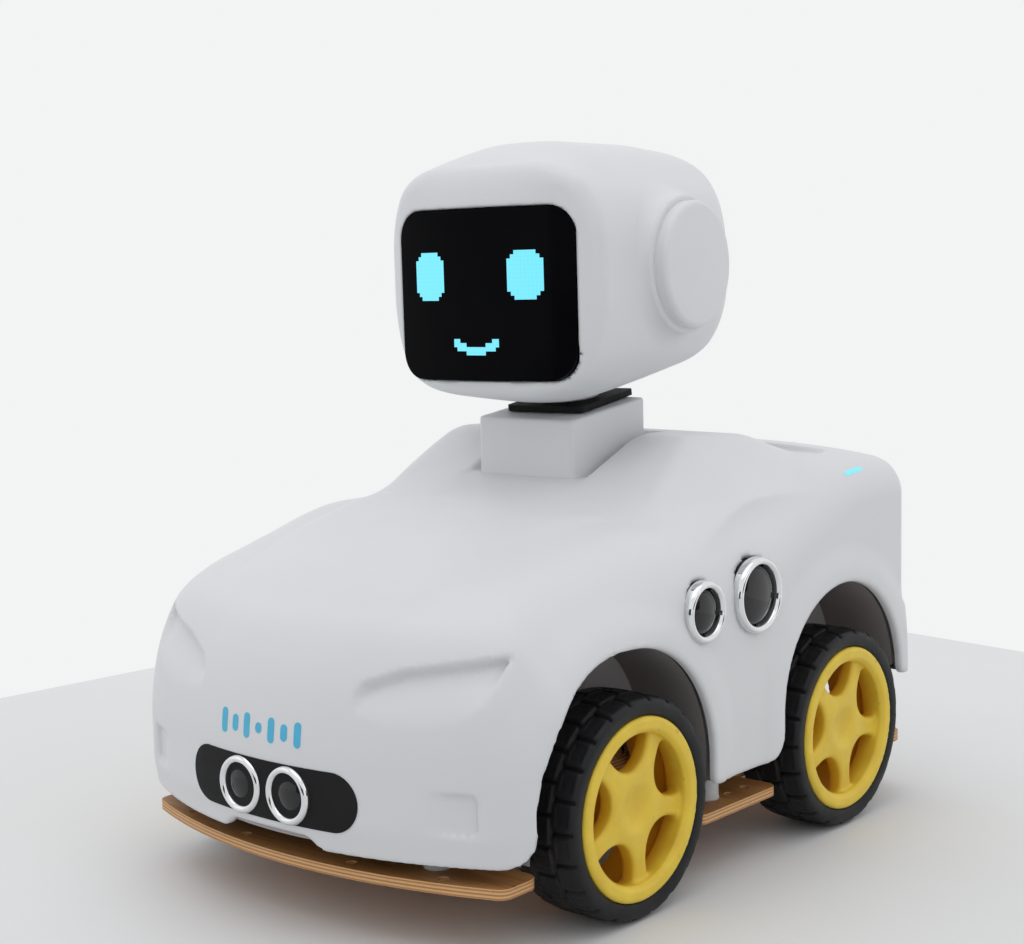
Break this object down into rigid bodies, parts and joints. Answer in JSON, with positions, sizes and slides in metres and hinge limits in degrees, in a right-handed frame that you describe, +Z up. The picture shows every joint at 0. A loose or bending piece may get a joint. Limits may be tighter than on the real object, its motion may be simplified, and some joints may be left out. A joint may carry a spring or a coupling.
{
  "type": "wheeled robot car",
  "caption": "Small wheeled robot car with a moulded car-shaped cover, plywood chassis, geared motor wheels, side and front sensors and a turning head with a lit face.",
  "frame": {"origin": "on the floor under the middle of the overall box, on the car's centre plane, 10 mm in front of the point midway between the axles", "axes": "+Z up, -Y is the direction the car and its face look, +X is the car's own left side"},
  "size_m": [0.1668, 0.235, 0.2262],
  "materials": {
    "shell_white": "fine matte moulded ABS, very light cool grey-white",
    "plywood": "laser-cut varnished birch plywood with visible plies at the edge",
    "hub_yellow": "moulded yellow plastic with a slight satin",
    "tyre_rubber": "soft black rubber, dusty on the tread",
    "gearbox_yellow": "moulded yellow plastic",
    "motor_metal": "zinc-plated drawn can, satin",
    "shaft_white": "white nylon or acetal",
    "chrome_bezel": "polished chrome",
    "sensor_glass": "smoked clear dome",
    "sensor_can": "dark metal can",
    "panel_black": "fine black satin plastic",
    "screen_black": "glossy black acrylic",
    "light_cyan": "lit cyan diffuser",
    "circuit_board": "blue solder mask",
    "component_black": "black epoxy and moulded connectors",
    "screw_steel": "nickel-plated steel",
    "standoff_brass": "machined brass",
    "cell_wrap": "shrink-wrapped cell",
    "servo_blue": "translucent blue servo case"
  },
  "bodies": {
    "chassis": {"battery_cells": "cell_wrap", "battery_tray": "panel_black", "board_components": "component_black", "board_screws": "screw_steel", "body_shell": "shell_white", "chassis_plate": "plywood", "control_board": "circuit_board", "front_bezels": "chrome_bezel", "front_lenses": "sensor_glass", "front_sensor_board": "circuit_board", "front_sensor_cans": "sensor_can", "front_sensor_panel": "panel_black", "gearbox_front_left": "gearbox_yellow", "gearbox_front_right": "gearbox_yellow", "gearbox_rear_left": "gearbox_yellow", "gearbox_rear_right": "gearbox_yellow", "motor_bolts": "screw_steel", "motor_brackets": "plywood", "motor_end_caps": "shaft_white", "motor_front_left": "motor_metal", "motor_front_right": "motor_metal", "motor_nuts": "screw_steel", "motor_rear_left": "motor_metal", "motor_rear_right": "motor_metal", "neck_housing": "shell_white", "pan_servo": "servo_blue", "power_switch_body": "panel_black", "servo_screws": "screw_steel", "shell_screws": "screw_steel", "side_bezels_left": "chrome_bezel", "side_bezels_right": "chrome_bezel", "side_lenses_left": "sensor_glass", "side_lenses_right": "sensor_glass", "side_sensor_cans": "sensor_can", "standoffs": "standoff_brass", "status_light": "light_cyan"},
    "front_left_wheel": {"drive_shaft_front_left": "shaft_white", "wheel_hub_front_left": "hub_yellow", "tyre_front_left": "tyre_rubber"},
    "front_right_wheel": {"drive_shaft_front_right": "shaft_white", "wheel_hub_front_right": "hub_yellow", "tyre_front_right": "tyre_rubber"},
    "rear_left_wheel": {"drive_shaft_rear_left": "shaft_white", "wheel_hub_rear_left": "hub_yellow", "tyre_rear_left": "tyre_rubber"},
    "rear_right_wheel": {"drive_shaft_rear_right": "shaft_white", "wheel_hub_rear_right": "hub_yellow", "tyre_rear_right": "tyre_rubber"},
    "head": {"head_shell": "shell_white", "face_lens": "screen_black", "eye_lights": "light_cyan", "mouth_light": "light_cyan", "display_module": "circuit_board", "head_board": "circuit_board", "ear_cap_left": "shell_white", "ear_cap_right": "shell_white", "turntable_plate": "panel_black", "servo_horn": "shaft_white", "servo_output_shaft": "shaft_white"},
    "switch_knob": {"power_switch_knob": "component_black"}
  },
  "joints": [
    {"name": "front_left_wheel_spin", "type": "hinge", "parent": "chassis", "child": "front_left_wheel", "pos_m": [0.07, -0.0464, 0.0325], "axis": [1, 0, 0], "continuous": true},
    {"name": "front_right_wheel_spin", "type": "hinge", "parent": "chassis", "child": "front_right_wheel", "pos_m": [-0.07, -0.0464, 0.0325], "axis": [1, 0, 0], "continuous": true},
    {"name": "rear_left_wheel_spin", "type": "hinge", "parent": "chassis", "child": "rear_left_wheel", "pos_m": [0.07, 0.0664, 0.0325], "axis": [1, 0, 0], "continuous": true},
    {"name": "rear_right_wheel_spin", "type": "hinge", "parent": "chassis", "child": "rear_right_wheel", "pos_m": [-0.07, 0.0664, 0.0325], "axis": [1, 0, 0], "continuous": true},
    {"name": "head_pan", "type": "hinge", "parent": "chassis", "child": "head", "pos_m": [0, 0.0248, 0.13904], "axis": [0, -0.1247, 0.9922], "range_deg": [-94.4, 85.6]},
    {"name": "power_switch_slide", "type": "slide", "parent": "chassis", "child": "switch_knob", "axis": [1, 0, 0], "range_m": [0, 0.003]}
  ]
}
